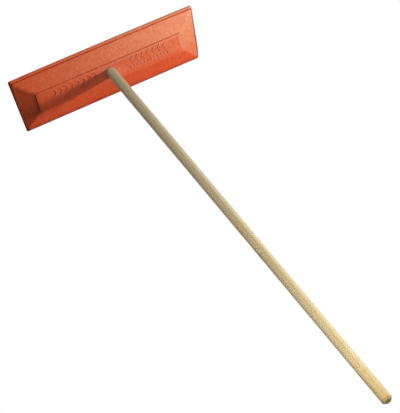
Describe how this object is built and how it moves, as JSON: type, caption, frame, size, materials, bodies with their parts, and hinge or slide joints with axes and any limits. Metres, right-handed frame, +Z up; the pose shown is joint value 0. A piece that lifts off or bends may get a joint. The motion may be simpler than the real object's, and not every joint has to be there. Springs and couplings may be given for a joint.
{
  "type": "roof snow rake",
  "caption": "Roof snow rake: a wide, shallow, hollow plastic blade with a raised front panel and rounded rim, set almost square on a long straight wooden pole.",
  "frame": {"origin": "On the ground, under the centre of the whole rake's bounding box, as it lies on the blade's back lower edge and the pole's far end.", "axes": "+X along the blade, +Y from the pole's far end towards the blade's back, +Z up from the ground. The blade's face looks along -Y and leans back about 9 degrees; the pole runs along -Y, falling about 3 degrees to its far end."},
  "size_m": [0.609, 1.5334, 0.1777],
  "materials": {
    "front_plastic": "orange polyethylene, fine satin mould grain",
    "back_plastic": "orange polyethylene, fine satin mould grain",
    "pole_wood": "pale straight-grained hardwood, bare or thinly waxed",
    "zinc_steel": "bright zinc plate"
  },
  "bodies": {
    "blade": {"front_shell": "front_plastic", "back_shell": "back_plastic", "pole_washer": "zinc_steel", "pole_screw": "zinc_steel", "shell_screw_1": "zinc_steel", "shell_screw_2": "zinc_steel", "shell_screw_3": "zinc_steel", "shell_screw_4": "zinc_steel", "shell_screw_5": "zinc_steel", "shell_screw_6": "zinc_steel", "shell_screw_7": "zinc_steel", "shell_screw_8": "zinc_steel"},
    "pole": {"pole": "pole_wood"}
  },
  "joints": [
    {"name": "pole_draw", "type": "slide", "parent": "blade", "child": "pole", "axis": [0, -0.9986, -0.0535], "range_m": [0, 0.055]}
  ]
}
